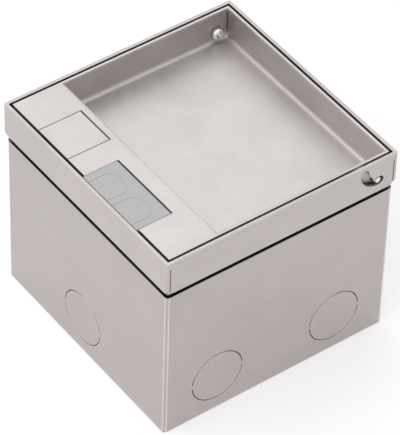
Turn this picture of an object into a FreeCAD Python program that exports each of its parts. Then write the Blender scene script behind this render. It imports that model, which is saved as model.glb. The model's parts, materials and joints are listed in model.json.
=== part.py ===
"""Floor socket box with a hinged lid, a levelling frame and two socket outlets.

Frame: millimetres, +Z up, origin at the centre of the underside. -Y is the front, where the
cable outlets are. The lid swings up at the front about an axis near the back.
"""
import FreeCAD, Part
import math
import os

Vector = FreeCAD.Vector
X_AXIS = Vector(1, 0, 0)
Y_AXIS = Vector(0, 1, 0)
Z_AXIS = Vector(0, 0, 1)

# ---------------------------------------------------------------- driving sizes
# Casing
box_side = 144.0
box_height = 99.2
box_sheet = 1.5
box_corner_radius = 2.0
base_sheet = 1.5
base_hole_radius = 2.75
base_hole_spacing_x = 90.0
base_hole_spacing_y = 90.0
knockout_radius = 16.25
knockout_height = 23.5
knockout_slit = 0.5
knockout_bridge = 2.2
front_knockout_shift = -2.4
side_knockout_spacing = 76.4

# Top frame
frame_overhang = 1.0
frame_sheet = 2.0
flange_height = 21.2
shadow_gap = 3.6
corner_weld = 4.0
corner_slit = 0.5
flange_corner_radius = 3.0
frame_edge_radius = 1.0

# Ledge and its skirt
ledge_drop = 22.0
ledge_sheet = 1.5
ledge_width = 9.0
ledge_corner_radius = 1.5
upstand_height = 1.4
upstand_sheet = 1.0
skirt_depth = 21.5
skirt_corner_radius = 14.0

# Lid
lid_sheet = 1.5
lid_side_gap = 1.25
lid_front_gap = 1.5
lid_back_gap = 1.3
strip_width = 31.6
tray_depth = 19.0
tray_bend = 1.9
strip_bend = 1.8
lid_slit = 0.6
lid_slit_top = 2.4
lid_slit_play = 0.2
outlet_notch = 5.0

# Lid hinge: both screws run in slots that are arcs about the lid's swing axis
pivot_inset = 8.7
pivot_drop = 4.2
slot_arc_radius = 9.3
slot_half_width = 2.75
lid_swing = 80.0
slot_overrun = 4.0
hinge_screw_radius = 1.95
hinge_hole_radius = 2.0
hinge_head_radius = 3.4
hinge_head_height = 2.3
hinge_screw_recess = 0.4
washer_radius = 3.6
washer_thickness = 1.0

# Metal cable flap
flap_width = 26.2
flap_length = 26.4
flap_centre_x = -32.4
flap_gap = 0.4
flap_edge_radius = 0.8
flap_pin_inset = 5.2
flap_pin_drop = 2.6
flap_barrel_radius = 1.7
flap_pin_radius = 0.75
flap_pin_play = 0.05
flap_pin_head_radius = 1.0
flap_pin_head_length = 0.8
bracket_sheet = 1.2
bracket_depth = 7.0
bracket_setback = 2.0
bracket_lip = 3.0
bracket_lip_end = 1.0
lip_play = 0.1

# Plastic cable outlet
insert_width = 47.0
insert_centre_x = 19.7
insert_length = 20.0
insert_gap = 0.3
insert_back_gap = 1.1
insert_reach = 1.1
insert_plate = 2.4
insert_lip = 1.5
insert_lip_thickness = 1.4
insert_wall_depth = 8.0
insert_wall = 1.6
insert_flange_play = 0.3
tab_width = 17.2
tab_depth = 15.4
tab_corner = 6.5
tab_spacing = 21.2
tab_shift = 0.3
tab_groove = 0.4
tab_groove_depth = 0.4

# Lid seal
seal_height = 1.4
seal_width = 3.0
seal_inset = 0.5
seal_end_gap = 3.0
seal_hinge_gap = 13.0

# Levelling screws
levelling_inset = 7.0
levelling_radius = 2.5
levelling_head_radius = 4.3
levelling_travel = 15.0
levelling_spare = 4.6
thread_play = 0.06
support_nut_flats = 8.0
support_nut_height = 2.7
support_nut_play = 0.35
levelling_bracket_drop = 15.5
levelling_bracket_size = 14.5
levelling_bracket_sheet = 2.0
levelling_tab_height = 12.0
levelling_bracket_radius = 0.7
skirt_play = 1.5
rivet_nut_radius = 3.6
rivet_nut_length = 7.0
rivet_flange_radius = 4.6
rivet_flange_height = 0.8

# Socket carrier
carrier_drop = 66.0
carrier_sheet = 1.5
carrier_bend = 2.0
carrier_end_gap = 6.0
cheek_length = 76.0
cheek_notch = 2.0
cheek_top_drop = 29.0
window_play = 0.25
module_side = 45.0
module_spacing = 52.0
module_centre_y = 6.0
carrier_screw_radius = 1.95
carrier_screw_head_radius = 3.6
carrier_screw_head_height = 2.2
carrier_nut_flats = 7.0
carrier_nut_height = 3.2
carrier_screw_spacing = 56.0
carrier_screw_drop = 36.5
cable_notch_width = 30.0
cable_notch_length = 20.0

# Socket modules
well_radius = 19.3
well_wall = 1.4
well_depth = 17.0
well_floor = 1.6
module_rim = 1.6
module_rim_overlap = 1.4
module_corner_radius = 1.0
module_skirt_depth = 9.0
key_width = 4.8
key_height = 2.6
key_drop = 2.0
contact_spacing = 19.0
contact_hole_radius = 2.7
sleeve_radius = 3.1
sleeve_bore = 2.4
sleeve_length = 13.0
sleeve_floor = 1.0
sleeve_slit = 0.6
sleeve_slit_end = 3.0
earth_clip_width = 4.0
earth_clip_sheet = 0.8
earth_clip_drop = 5.0
earth_slot_play = 0.3
earth_slot_drop = 4.0
earth_slot_depth = 3.2
earth_trough_play = 0.2
socket_base_side = 38.0
socket_base_height = 15.0
socket_base_corner = 3.0
terminal_spacing = 24.0
terminal_length = 7.0
terminal_hole_depth = 8.0
terminal_radius = 1.6
terminal_head_radius = 2.6
terminal_head_height = 1.6

# Cable clamp and earthing
clamp_length = 30.0
clamp_width = 8.0
clamp_height = 9.0
clamp_wall = 2.5
clamp_inset = 12.0
clamp_screw_radius = 1.5
clamp_screw_head_radius = 2.8
clamp_screw_head_height = 1.8
clamp_screw_reach = 1.0
earth_stud_radius = 3.0
earth_stud_height = 16.0
earth_foot_rim = 1.0
earth_foot_height = 1.0
earth_stud_x = -30.0
earth_stud_y = 30.0
earth_nut_flats = 10.0
earth_nut_height = 5.0
earth_washer_radius = 6.0
earth_washer_thickness = 1.2

# ---------------------------------------------------------------- shared places
overrun = 1.0
clearance = 0.05
touch = 0.001
recess_reach = 0.62
recess_half_width = 0.13
recess_floor = 0.35
top = box_height + shadow_gap + flange_height
half_box = box_side / 2
half_box_inside = half_box - box_sheet
box_inner_radius = max(box_corner_radius - box_sheet, 0.3)
half_frame = half_box + frame_overhang
half_opening = half_frame - frame_sheet
ledge_top = top - ledge_drop
ledge_underside = ledge_top - ledge_sheet
skirt_outside = half_opening - ledge_width + ledge_sheet
skirt_inside = skirt_outside - ledge_sheet
skirt_bottom = ledge_underside - skirt_depth
lid_half_width = half_opening - lid_side_gap
lid_front = -half_opening + lid_front_gap
lid_back = half_opening - lid_back_gap
lid_underside = top - tray_depth - lid_sheet
strip_back = lid_front + strip_width
lid_wall_inside = lid_half_width - lid_sheet
pivot_y = lid_back - pivot_inset
pivot_z = top - pivot_drop
screw_z = pivot_z - slot_arc_radius
levelling_place = half_box_inside - levelling_inset
shelf_top = box_height - levelling_bracket_drop
levelling_length = ledge_top - shelf_top + rivet_nut_length + levelling_travel + levelling_spare
carrier_top = top - carrier_drop
carrier_half_width = skirt_inside
carrier_half_length = skirt_inside - carrier_end_gap
clamp_centre_y = clamp_inset - carrier_half_length
well_bottom = carrier_top + module_rim - well_depth
socket_base_top = well_bottom - well_floor


# ---------------------------------------------------------------- helpers
def box(x0, x1, y0, y1, z0, z1):
    """A block between two opposite corners, given in either order."""
    low = Vector(min(x0, x1), min(y0, y1), min(z0, z1))
    return Part.makeBox(abs(x1 - x0), abs(y1 - y0), abs(z1 - z0), low)


def cylinder(radius, height, x, y, z, axis=Z_AXIS):
    """A round bar that starts at a point and runs along an axis."""
    return Part.makeCylinder(radius, height, Vector(x, y, z), axis)


def rounded_block(half_x, half_y, z0, z1, radius):
    """A block centred on the Z axis with rounded upright edges."""
    block = box(-half_x, half_x, -half_y, half_y, z0, z1)
    return block.makeFillet(radius, upright_edges(block))


def upright_edges(shape):
    """Straight edges that run along Z."""
    found = []
    for edge in shape.Edges:
        start = edge.Vertexes[0].Point
        end = edge.Vertexes[-1].Point
        if math.hypot(start.x - end.x, start.y - end.y) < 1e-6 and abs(start.z - end.z) > 1e-6:
            found.append(edge)
    return found


def edges_along(shape, direction, test):
    """Straight edges parallel to a direction whose middle passes a test."""
    found = []
    for edge in shape.Edges:
        start = edge.Vertexes[0].Point
        end = edge.Vertexes[-1].Point
        run = end.sub(start)
        if run.Length > 1e-6 and run.cross(direction).Length < 1e-6 * run.Length:
            if test(start.add(end).multiply(0.5)):
                found.append(edge)
    return found


def mirrored_x(shape):
    return shape.mirror(Vector(0, 0, 0), X_AXIS)


def mirrored_y(shape):
    return shape.mirror(Vector(0, 0, 0), Y_AXIS)


def plain_screw(radius, length, head_radius, head_height):
    """Cheese-head screw: the head's seat is at z = 0, the shank points to -Z."""
    shank = cylinder(radius, length, 0, 0, -length)
    return shank.fuse(cylinder(head_radius, head_height, 0, 0, 0)).removeSplitter()


def crossed(screw, head_radius, z0, z1):
    """A screw with a cross recess between two heights of its head."""
    arm = head_radius * recess_reach
    half = head_radius * recess_half_width
    screw = screw.cut(box(-arm, arm, -half, half, z0, z1))
    return screw.cut(box(-half, half, -arm, arm, z0, z1)).removeSplitter()


def hex_nut(flats, height, bore):
    """Hexagon nut that stands on z = 0."""
    corner = flats / math.sqrt(3)
    points = [Vector(corner * math.cos(math.radians(a)), corner * math.sin(math.radians(a)), 0)
              for a in range(0, 361, 60)]
    body = Part.Face(Part.makePolygon(points)).extrude(Vector(0, 0, height))
    return body.cut(cylinder(bore, height, 0, 0, 0))


def placed(shape, x, y, z, axis=Z_AXIS):
    """A copy moved so that its origin and +Z land on a point and an axis."""
    copy = shape.copy()
    copy.Placement = FreeCAD.Placement(Vector(x, y, z), FreeCAD.Rotation(Z_AXIS, axis))
    return copy


def group(solids):
    """Separate solids that share one node."""
    return Part.makeCompound(solids)


def four_corners(offset):
    """The places of the four levelling screws with their names."""
    return [("front_left", -offset, -offset), ("front_right", offset, -offset),
            ("back_left", -offset, offset), ("back_right", offset, offset)]


# ---------------------------------------------------------------- casing
def knockout_groove(x, y, axis):
    """Slit ring round a knockout, broken by two bridges that still hold the disc."""
    z = knockout_height
    start = Vector(x, y, z).sub(axis * 2 * box_sheet)
    ring = Part.makeCylinder(knockout_radius, 4 * box_sheet, start, axis)
    ring = ring.cut(Part.makeCylinder(knockout_radius - knockout_slit, 4 * box_sheet, start, axis))
    reach = knockout_radius * 2
    half = knockout_bridge / 2
    bridge = box(-reach, reach, -reach, reach, -half, half)
    bridge.translate(Vector(x, y, z))
    return ring.cut(bridge)


def make_box_walls():
    """Casing wall, folded from one strip, with its knockouts."""
    outside = rounded_block(half_box, half_box, 0, box_height, box_corner_radius)
    inside = rounded_block(half_box_inside, half_box_inside, 0, box_height, box_inner_radius)
    walls = outside.cut(inside)
    for sign in (-1, 1):
        walls = walls.cut(knockout_groove(front_knockout_shift, sign * half_box, Y_AXIS))
        for place in (-side_knockout_spacing / 2, side_knockout_spacing / 2):
            walls = walls.cut(knockout_groove(sign * half_box, place, X_AXIS))
    return walls


def make_base_plate():
    """Bottom of the casing, set inside the walls, with four fixing holes."""
    half = half_box_inside
    plate = rounded_block(half, half, 0, base_sheet, box_inner_radius)
    for x in (-base_hole_spacing_x / 2, base_hole_spacing_x / 2):
        for y in (-base_hole_spacing_y / 2, base_hole_spacing_y / 2):
            plate = plate.cut(cylinder(base_hole_radius, base_sheet, x, y, 0))
    return plate


def make_levelling_brackets():
    """Corner shelves with two tabs against the walls; each carries a rivet nut."""
    shelf_low = shelf_top - levelling_bracket_sheet
    outer = half_box_inside
    inner = outer - levelling_bracket_size
    shelf = box(inner, outer, inner, outer, shelf_low, shelf_top)
    tab_low = shelf_top - levelling_tab_height
    shelf = shelf.fuse(box(inner, outer, outer - levelling_bracket_sheet, outer, tab_low, shelf_low))
    shelf = shelf.fuse(box(outer - levelling_bracket_sheet, outer, inner, outer, tab_low, shelf_low))
    arc_centre = skirt_outside - skirt_corner_radius
    swept = skirt_corner_radius + skirt_play
    shelf = shelf.cut(cylinder(swept, box_height, arc_centre, arc_centre, 0))
    corner_edge = edges_along(shelf, Z_AXIS, lambda p: p.x > outer - touch and p.y > outer - touch)
    shelf = shelf.makeFillet(max(levelling_bracket_radius, box_inner_radius), corner_edge)
    place = levelling_place
    shelf = shelf.cut(cylinder(rivet_nut_radius, box_height, place, place, 0)).removeSplitter()
    left = mirrored_x(shelf)
    return group([shelf, left, mirrored_y(shelf), mirrored_y(left)])


def make_rivet_nuts():
    """Threaded rivet nuts pressed into the corner shelves."""
    nut = cylinder(rivet_flange_radius, rivet_flange_height, 0, 0, 0)
    nut = nut.fuse(cylinder(rivet_nut_radius, rivet_nut_length, 0, 0, -rivet_nut_length))
    bore = levelling_radius + thread_play
    nut = nut.cut(cylinder(bore, 2 * rivet_nut_length, 0, 0, -rivet_nut_length))
    return group([placed(nut, x, y, shelf_top) for name, x, y in four_corners(levelling_place)])


def make_earthing():
    """Welded earth stud on the base with its washer and nut."""
    foot = cylinder(earth_stud_radius + earth_foot_rim, earth_foot_height, 0, 0, 0)
    stud = foot.fuse(cylinder(earth_stud_radius, earth_stud_height, 0, 0, 0))
    stud = placed(stud, earth_stud_x, earth_stud_y, base_sheet)
    z = base_sheet + earth_foot_height
    bore = earth_stud_radius + thread_play
    washer = cylinder(earth_washer_radius, earth_washer_thickness, 0, 0, 0)
    washer = washer.cut(cylinder(bore, earth_washer_thickness, 0, 0, 0))
    washer = placed(washer, earth_stud_x, earth_stud_y, z)
    nut = hex_nut(earth_nut_flats, earth_nut_height, bore)
    nut = placed(nut, earth_stud_x, earth_stud_y, z + earth_washer_thickness)
    return stud, washer, nut


# ---------------------------------------------------------------- top frame
def hinge_slot(depth):
    """Slot along an arc about the lid's swing axis, cut along X; in the YZ plane at x = 0."""
    start = -90 + slot_overrun
    end = -90 - lid_swing - slot_overrun
    outer = slot_arc_radius + slot_half_width
    inner = slot_arc_radius - slot_half_width

    def on_arc(radius, angle):
        turn = math.radians(angle)
        return Vector(0, pivot_y + radius * math.cos(turn), pivot_z + radius * math.sin(turn))

    middle = (start + end) / 2
    outline = [
        Part.Arc(on_arc(outer, start), on_arc(outer, middle), on_arc(outer, end)),
        Part.Arc(on_arc(outer, end), end_cap(on_arc, end, -1), on_arc(inner, end)),
        Part.Arc(on_arc(inner, end), on_arc(inner, middle), on_arc(inner, start)),
        Part.Arc(on_arc(inner, start), end_cap(on_arc, start, 1), on_arc(outer, start)),
    ]
    wire = Part.Wire([arc.toShape() for arc in outline])
    return Part.Face(wire).extrude(Vector(depth, 0, 0))


def end_cap(on_arc, angle, way):
    """Far point of the round end of a slot."""
    centre = on_arc(slot_arc_radius, angle)
    turn = math.radians(angle)
    along = Vector(0, -math.sin(turn), math.cos(turn))
    return centre.add(along * (way * slot_half_width))


def flange(length, along_x):
    """One upright flange on the +Y or +X side, with rounded free lower corners."""
    low = top - flange_height
    if along_x:
        plate = box(-length / 2, length / 2, half_opening, half_frame, low, top)
        corners = edges_along(plate, Y_AXIS, lambda p: p.z < low + touch)
    else:
        plate = box(half_opening, half_frame, -length / 2, length / 2, low, top)
        corners = edges_along(plate, X_AXIS, lambda p: p.z < low + touch)
    return plate.makeFillet(flange_corner_radius, corners)


def make_top_frame():
    """Four flanges, welded at the top of each corner and slit below the weld."""
    back = flange(2 * half_frame, True)
    side = flange(2 * half_opening, False)
    slit_low = top - flange_height
    for sign in (-1, 1):
        end = sign * half_opening
        side = side.cut(box(half_opening, half_frame, end, end - sign * corner_slit,
                            slit_low, top - corner_weld))
    slot = hinge_slot(2 * frame_sheet)
    slot.translate(Vector(half_opening - frame_sheet / 2, 0, 0))
    side = side.cut(slot)
    frame = back.fuse([side, mirrored_y(back), mirrored_x(side)]).removeSplitter()
    uprights = edges_along(frame, Z_AXIS,
                           lambda p: abs(p.x) > half_frame - touch and abs(p.y) > half_frame - touch)
    return frame.makeFillet(frame_edge_radius, uprights)


def make_ledge_frame():
    """Ledge ring with an upstand welded inside the flanges and a skirt at its inner edge."""
    upstand_inside = half_opening - upstand_sheet
    upstand_top = ledge_top + upstand_height
    outside = rounded_block(half_opening, half_opening, ledge_underside, upstand_top,
                            ledge_corner_radius)
    outside = outside.cut(rounded_block(upstand_inside, upstand_inside, ledge_top, upstand_top,
                                        ledge_corner_radius - upstand_sheet))
    skirt = rounded_block(skirt_outside, skirt_outside, skirt_bottom, ledge_top,
                          skirt_corner_radius)
    bore = rounded_block(skirt_inside, skirt_inside, skirt_bottom, ledge_top,
                         skirt_corner_radius - ledge_sheet)
    body = outside.fuse(skirt).cut(bore).removeSplitter()
    for name, x, y in four_corners(levelling_place):
        body = body.cut(countersink(x, y))
    for sign in (-1, 1):
        for y in (-carrier_screw_spacing / 2, carrier_screw_spacing / 2):
            body = body.cut(carrier_screw_hole(sign, y))
    return body


def carrier_screw_hole(sign, y):
    """Hole through the skirt and the carrier's cheek on one side."""
    start = sign * (skirt_inside - carrier_sheet - overrun)
    length = carrier_sheet + ledge_sheet + 2 * overrun
    return cylinder(carrier_screw_radius + clearance, length, start, y,
                    top - carrier_screw_drop, X_AXIS * sign)


def countersink(x, y):
    """Countersunk hole for a levelling screw, from the ledge's top down."""
    drop = levelling_head_radius - levelling_radius
    rim = levelling_head_radius + 2 * clearance
    cone = Part.makeCone(rim - drop, rim, drop, Vector(x, y, ledge_top - drop), Z_AXIS)
    bore = cylinder(levelling_radius + 3 * clearance, 2 * ledge_sheet, x, y,
                    ledge_underside - clearance)
    return cone.fuse(bore)


def make_lid_seal():
    """Three strips on the ledge: both sides and the front, clear of the hinge end."""
    z0 = ledge_top
    z1 = z0 + seal_height
    end = levelling_place - levelling_head_radius - seal_end_gap
    x0 = skirt_inside + seal_inset
    right = box(x0, x0 + seal_width, -end, pivot_y - seal_hinge_gap, z0, z1)
    front = box(-end, end, lid_front, lid_front + seal_width, z0, z1)
    return group([right, mirrored_x(right), front])


# ---------------------------------------------------------------- levelling screws
def make_levelling_screw(x, y):
    """Countersunk screw held in the ledge and threaded into a corner of the casing."""
    drop = levelling_head_radius - levelling_radius
    head = Part.makeCone(levelling_radius, levelling_head_radius, drop, Vector(0, 0, -drop), Z_AXIS)
    screw = head.fuse(cylinder(levelling_radius, levelling_length, 0, 0, -levelling_length))
    screw = crossed(screw, levelling_head_radius, (recess_floor - 1) * drop, 0)
    return placed(screw, x, y, ledge_top)


def make_support_nut(x, y):
    """Nut locked on the screw under the ledge: it carries the frame."""
    nut = hex_nut(support_nut_flats, support_nut_height, levelling_radius + thread_play)
    return placed(nut, x, y, ledge_underside - support_nut_play - support_nut_height)


# ---------------------------------------------------------------- lid
def pan_profile(inset, along_x):
    """Upright block with its two lower edges rounded, for one pair of folded walls."""
    x0 = -lid_half_width + inset
    y0 = strip_back - lid_sheet + inset
    y1 = lid_back - inset
    z0 = lid_underside + inset
    block = box(x0, -x0, y0, y1, z0, top)
    radius = tray_bend + lid_sheet - inset
    direction = X_AXIS if along_x else Y_AXIS
    return block.makeFillet(radius, edges_along(block, direction, lambda p: p.z < z0 + touch))


def make_pan():
    """The recessed tray: four walls folded up from the floor."""
    outside = pan_profile(0, True).common(pan_profile(0, False))
    hollow = pan_profile(lid_sheet, True).common(pan_profile(lid_sheet, False))
    return outside.cut(hollow)


def make_lid_tray():
    """Folded lid: the tray, the strip in front of it, its side walls and front flange."""
    x1 = lid_half_width
    inner = lid_wall_inside
    strip = box(-x1, x1, lid_front, strip_back, top - lid_sheet, top)
    front = box(-inner, inner, lid_front, lid_front + lid_sheet, lid_underside, top)
    side = box(inner, x1, lid_front, strip_back, lid_underside, top)
    lid = make_pan().fuse([strip, front, side, mirrored_x(side)]).removeSplitter()
    lid = lid.makeFillet(strip_bend, edges_along(
        lid, X_AXIS, lambda p: abs(p.y - strip_back) < touch and p.z > top - touch))
    for sign in (-1, 1):
        wall = sign * inner
        inward = wall - sign * lid_slit
        slit = box(wall, inward, lid_back - lid_sheet - lid_slit_play, lid_back + overrun,
                   lid_underside + lid_sheet + tray_bend, top - lid_slit_top)
        front_slit = box(wall, inward, lid_front - overrun, lid_front + lid_sheet,
                         lid_underside - overrun, top - outlet_notch)
        lid = lid.cut(slit).cut(front_slit)
        lid = lid.cut(cylinder(hinge_hole_radius, lid_sheet + 2 * overrun,
                               sign * (inner - overrun), pivot_y, screw_z, X_AXIS * sign))
    lid = lid.cut(flap_aperture()).cut(insert_aperture())
    return lid


def flap_aperture():
    """Opening for the metal flap, open to the lid's front edge."""
    half = flap_width / 2 + flap_gap
    y1 = lid_front + flap_length + flap_gap
    return box(flap_centre_x - half, flap_centre_x + half, lid_front - overrun, y1,
               top - outlet_notch, top + overrun)


def insert_aperture():
    """Opening for the plastic outlet, open to the lid's front edge."""
    half = insert_width / 2 + insert_gap
    y1 = lid_front + insert_length + insert_back_gap
    return box(insert_centre_x - half, insert_centre_x + half, lid_front - overrun, y1,
               top - outlet_notch, top + overrun)


def make_hinge_parts():
    """Two screws through the tray's side walls, with a washer under each head."""
    washer = cylinder(washer_radius, washer_thickness, 0, 0, -washer_thickness)
    washer = washer.cut(cylinder(hinge_hole_radius + 2 * clearance, washer_thickness,
                                 0, 0, -washer_thickness))
    seat = lid_wall_inside - washer_thickness
    length = half_frame - hinge_screw_recess - seat
    head = cylinder(hinge_head_radius, hinge_head_height, 0, 0, 0)
    crown = [edge for edge in head.Edges if edge.BoundBox.ZMin > hinge_head_height - clearance]
    head = head.makeChamfer(hinge_head_height * recess_floor, crown[:1])
    screw = head.fuse(cylinder(hinge_screw_radius, length, 0, 0, -length))
    screw = crossed(screw, hinge_head_radius, hinge_head_height * recess_floor, hinge_head_height)
    screws = []
    washers = []
    for sign in (-1, 1):
        axis = X_AXIS * -sign
        screws.append(placed(screw, sign * seat, pivot_y, screw_z, axis))
        washers.append(placed(washer, sign * seat, pivot_y, screw_z, axis))
    return group(screws), group(washers)


def flap_axis():
    """Y and Z of the flap's pin: far enough in that the back edge swings clear of the strip."""
    return lid_front + flap_length - flap_pin_inset, top - flap_pin_drop


def make_outlet_flap():
    """Flush flap with a barrel under its back end and the back edge rounded."""
    pin_y, pin_z = flap_axis()
    x0 = flap_centre_x - flap_width / 2
    back = lid_front + flap_length
    plate = box(x0, x0 + flap_width, lid_front, back, top - lid_sheet, top)
    plate = plate.makeFillet(flap_edge_radius, edges_along(
        plate, X_AXIS, lambda p: p.y > back - clearance and p.z > top - clearance))
    barrel = cylinder(flap_barrel_radius, flap_width, x0, pin_y, pin_z, X_AXIS)
    flap = plate.fuse(barrel).removeSplitter()
    return flap.cut(cylinder(flap_pin_radius + flap_pin_play, flap_width, x0, pin_y, pin_z, X_AXIS))


def make_flap_bracket():
    """Folded bracket under the strip: two ears for the pin and lips that stop the flap."""
    pin_y, pin_z = flap_axis()
    z1 = top - lid_sheet
    z0 = z1 - bracket_depth
    y0 = lid_front + lid_sheet + bracket_setback
    y1 = lid_front + flap_length + flap_gap + bracket_sheet
    half = flap_width / 2 + flap_gap + bracket_sheet
    outer = box(flap_centre_x - half, flap_centre_x + half, y0, y1, z0, z1)
    inner_half = half - bracket_sheet
    bracket = outer.cut(box(flap_centre_x - inner_half, flap_centre_x + inner_half,
                            y0, y1 - bracket_sheet, z0, z1))
    lip_end = pin_y - flap_barrel_radius - bracket_lip_end
    lip_top = z1 - lip_play
    for sign in (-1, 1):
        edge = flap_centre_x + sign * inner_half
        bracket = bracket.fuse(box(edge, edge - sign * bracket_lip, y0, lip_end,
                                   lip_top - bracket_sheet, lip_top))
    pin_hole = cylinder(flap_pin_radius + flap_pin_play, 2 * half, flap_centre_x - half,
                        pin_y, pin_z, X_AXIS)
    return bracket.cut(pin_hole).removeSplitter()


def make_flap_pin():
    """Plain pin through the ears and the flap's barrel."""
    pin_y, pin_z = flap_axis()
    half = flap_width / 2 + flap_gap + bracket_sheet
    pin = cylinder(flap_pin_radius, 2 * half, flap_centre_x - half, pin_y, pin_z, X_AXIS)
    head = cylinder(flap_pin_head_radius, flap_pin_head_length,
                    flap_centre_x - half - flap_pin_head_length, pin_y, pin_z, X_AXIS)
    return pin.fuse(head)


def tab_outline(half, depth, corner, y0):
    """U-shaped face open at the front edge."""
    block = box(-half, half, y0 - corner, y0 + depth, 0, 2 * tab_groove_depth)
    far = edges_along(block, Z_AXIS, lambda p: p.y > y0 + depth - touch)
    return block.makeFillet(corner, far)


def tab_groove_ring(x, y0):
    """Groove that outlines one break-out tab."""
    outer = tab_outline(tab_width / 2, tab_depth, tab_corner, y0)
    inner = tab_outline(tab_width / 2 - tab_groove, tab_depth - tab_groove,
                        tab_corner - tab_groove, y0)
    ring = outer.cut(inner)
    ring.translate(Vector(x, 0, top - tab_groove_depth))
    return ring


def make_outlet_insert():
    """Grey plastic outlet: plate, clipping lips under the strip and walls round the cables."""
    x0 = insert_centre_x - insert_width / 2
    x1 = x0 + insert_width
    y0 = lid_front - insert_reach
    y1 = lid_front + insert_length
    plate = box(x0, x1, y0, y1, top - insert_plate, top)
    lip_top = top - lid_sheet
    start = lid_front + lid_sheet + insert_flange_play
    lip = box(x0 - insert_lip, x1 + insert_lip, start, y1, lip_top - insert_lip_thickness, lip_top)
    wall = box(x0, x1, start, y1, top - insert_wall_depth, lip_top)
    hollow = box(x0 + insert_wall, x1 - insert_wall, y0, y1 - insert_wall,
                 top - insert_wall_depth, top - insert_plate)
    insert = plate.fuse([lip, wall]).cut(hollow).removeSplitter()
    for shift in (-tab_spacing / 2, tab_spacing / 2):
        insert = insert.cut(tab_groove_ring(insert_centre_x + tab_shift + shift, y0))
    return insert


# ---------------------------------------------------------------- socket carrier
def module_places():
    """Centres of the socket modules."""
    return [-module_spacing / 2, module_spacing / 2]


def make_socket_carrier():
    """Folded carrier: a plate with two windows and two cheeks screwed to the skirt."""
    half = carrier_half_width
    low = carrier_top - carrier_sheet
    y1 = carrier_half_length
    cheek_high = top - cheek_top_drop
    outside = box(-half, half, -y1, y1, low, cheek_high)
    lower = edges_along(outside, Y_AXIS, lambda p: p.z < low + touch)
    outside = outside.makeFillet(carrier_bend + carrier_sheet, lower)
    inside = box(-half + carrier_sheet, half - carrier_sheet, -y1, y1, carrier_top, cheek_high)
    lower = edges_along(inside, Y_AXIS, lambda p: p.z < carrier_top + touch)
    body = outside.cut(inside.makeFillet(carrier_bend, lower))
    for sign in (-1, 1):
        for end in (-1, 1):
            body = body.cut(box(sign * (half - carrier_sheet - carrier_bend - cheek_notch),
                                sign * (half + overrun),
                                end * cheek_length / 2, end * (y1 + overrun),
                                low - overrun, cheek_high + overrun))
    side = module_side / 2 - module_rim_overlap + window_play
    for x in module_places():
        body = body.cut(box(x - side, x + side, module_centre_y - side, module_centre_y + side,
                            low - overrun, carrier_top + overrun))
    notch = cable_notch_width / 2
    body = body.cut(box(-notch, notch, y1 - cable_notch_length, y1 + overrun,
                        low - overrun, carrier_top + overrun))
    for sign in (-1, 1):
        for y in (-carrier_screw_spacing / 2, carrier_screw_spacing / 2):
            body = body.cut(carrier_screw_hole(sign, y))
    for x in clamp_screw_places():
        body = body.cut(cylinder(clamp_screw_radius + clearance, carrier_sheet + 2 * overrun,
                                 x, clamp_centre_y, low - overrun))
    return body


def make_carrier_fasteners():
    """Screws from inside the cheeks, with nuts outside the skirt."""
    seat = carrier_half_width - carrier_sheet
    length = skirt_outside - seat + carrier_nut_height
    screw = plain_screw(carrier_screw_radius, length,
                        carrier_screw_head_radius, carrier_screw_head_height)
    nut = hex_nut(carrier_nut_flats, carrier_nut_height, carrier_screw_radius + clearance)
    screws = []
    nuts = []
    for sign in (-1, 1):
        for y in (-carrier_screw_spacing / 2, carrier_screw_spacing / 2):
            z = top - carrier_screw_drop
            screws.append(placed(screw, sign * seat, y, z, X_AXIS * -sign))
            nuts.append(placed(nut, sign * skirt_outside, y, z, X_AXIS * sign))
    return group(screws), group(nuts)


def clamp_screw_places():
    """X places of the cable clamp's two screws."""
    reach = clamp_length / 2 - clamp_wall - clamp_screw_radius
    return [-reach, reach]


def make_cable_clamp():
    """Saddle that holds the supply cable under the carrier plate, with its screws."""
    z1 = carrier_top - carrier_sheet
    half = clamp_length / 2
    y0 = clamp_centre_y - clamp_width / 2
    saddle = box(-half, half, y0, y0 + clamp_width, z1 - clamp_height, z1)
    tunnel = clamp_height - clamp_wall
    saddle = saddle.cut(cylinder(tunnel, clamp_width, 0, y0, z1, Y_AXIS))
    length = carrier_sheet + clamp_height + clamp_screw_reach
    screw = plain_screw(clamp_screw_radius, length, clamp_screw_head_radius, clamp_screw_head_height)
    screws = []
    for x in clamp_screw_places():
        saddle = saddle.cut(cylinder(clamp_screw_radius + clearance, clamp_height, x,
                                     clamp_centre_y, z1 - clamp_height))
        screws.append(placed(screw, x, clamp_centre_y, carrier_top))
    return saddle, group(screws)


# ---------------------------------------------------------------- socket modules
def make_socket_cover(x):
    """Module moulding: square rim on the carrier and a round well for the plug."""
    y = module_centre_y
    half = module_side / 2
    rim_top = carrier_top + module_rim
    cover = box(x - half, x + half, y - half, y + half, carrier_top, rim_top)
    cover = cover.makeFillet(module_corner_radius, upright_edges(cover))
    body = half - module_rim_overlap
    cover = cover.fuse(box(x - body, x + body, y - body, y + body,
                           carrier_top - module_skirt_depth, carrier_top))
    cup = cylinder(well_radius + well_wall, well_depth + well_floor, x, y, socket_base_top)
    inner = body - well_wall
    cover = cover.cut(box(x - inner, x + inner, y - inner, y + inner,
                          carrier_top - module_skirt_depth, carrier_top))
    cover = cover.fuse(cup).cut(cylinder(well_radius, well_depth, x, y, well_bottom))
    slot_half = earth_clip_width / 2 + earth_slot_play
    for sign in (-1, 1):
        hole_x = x + sign * contact_spacing / 2
        cover = cover.cut(cylinder(contact_hole_radius, well_floor, hole_x, y, socket_base_top))
        edge = y + sign * well_radius
        key = box(x - key_width / 2, x + key_width / 2, edge, edge - sign * key_height,
                  well_bottom, rim_top - key_drop)
        slot = box(x - slot_half, x + slot_half, edge - sign * earth_slot_depth,
                   edge + sign * (well_wall + overrun), socket_base_top, rim_top - earth_slot_drop)
        cover = cover.fuse(key.cut(slot)).cut(slot)
    return cover.removeSplitter()


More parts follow.
